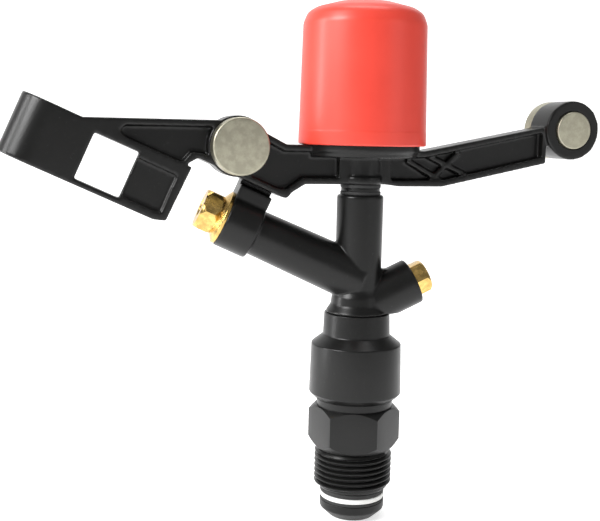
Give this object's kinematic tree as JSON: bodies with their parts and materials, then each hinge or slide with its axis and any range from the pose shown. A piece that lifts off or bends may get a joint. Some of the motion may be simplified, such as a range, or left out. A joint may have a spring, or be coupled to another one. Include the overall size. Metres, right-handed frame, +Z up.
{
  "type": "impact sprinkler",
  "caption": "Full-circle plastic impact sprinkler head with a swinging paddle arm, brass nozzles, sprung cap and a male threaded inlet.",
  "frame": {"origin": "on the axis that the head turns about, where the inlet thread meets the nut's hexagon", "axes": "+Z up along the head's axis; the main jet leaves towards -X; the arm rests on the -Y side of its tower"},
  "size_m": [0.2021, 0.0422, 0.1735],
  "materials": {
    "black_moulding": "satin black glass-filled moulding",
    "red_cap": "satin coral red moulding",
    "brass_turned": "turned, bright",
    "steel_weight": "satin zinc-plated",
    "steel_plain": "stainless, turned",
    "spring_steel": "drawn wire",
    "ptfe": "smooth white PTFE",
    "rubber_washer": "matte",
    "grey_moulding": "moulded"
  },
  "bodies": {
    "inlet": {"bearing_nut": "black_moulding", "nut_washer": "rubber_washer", "spring_seat": "steel_plain", "bearing_spring": "spring_steel"},
    "bearing": {"thrust_washer": "ptfe"},
    "head": {"stem_washer": "rubber_washer", "stem_tube": "black_moulding", "stem_seal": "rubber_washer", "sand_sleeve": "black_moulding", "head_body": "black_moulding", "jet_straightener": "grey_moulding", "nozzle_seal": "rubber_washer", "main_nozzle": "brass_turned", "rear_nozzle_seal": "rubber_washer", "rear_nozzle": "brass_turned", "axle_pin": "steel_plain", "hub_washer_low": "rubber_washer", "hub_washer_mid": "black_moulding", "hub_washer_top": "rubber_washer", "arm_top_washer": "ptfe", "arm_spring": "spring_steel", "spring_anchor": "black_moulding", "axle_washer": "steel_plain", "axle_nut": "steel_plain", "spring_cap": "red_cap"},
    "arm": {"hammer_arm": "black_moulding", "arm_bush": "brass_turned", "front_weight": "steel_weight", "tail_weight": "steel_weight"}
  },
  "joints": [
    {"name": "head_press", "type": "slide", "parent": "inlet", "child": "bearing", "axis": [0, 0, 1], "range_m": [-0.002, 0], "stiffness_N_per_m": 2500, "springref_m": 0.004, "deforming": ["bearing_spring"]},
    {"name": "head_turn", "type": "hinge", "parent": "bearing", "child": "head", "pos_m": [0, 0, 0], "axis": [0, 0, 1], "continuous": true},
    {"name": "arm_swing", "type": "hinge", "parent": "head", "child": "arm", "pos_m": [0, 0, 0.0895], "axis": [0, 0, 1], "range_deg": [0, 120], "stiffness_Nm_per_rad": 0.03, "springref_deg": -28.65, "deforming": ["arm_spring"]}
  ]
}
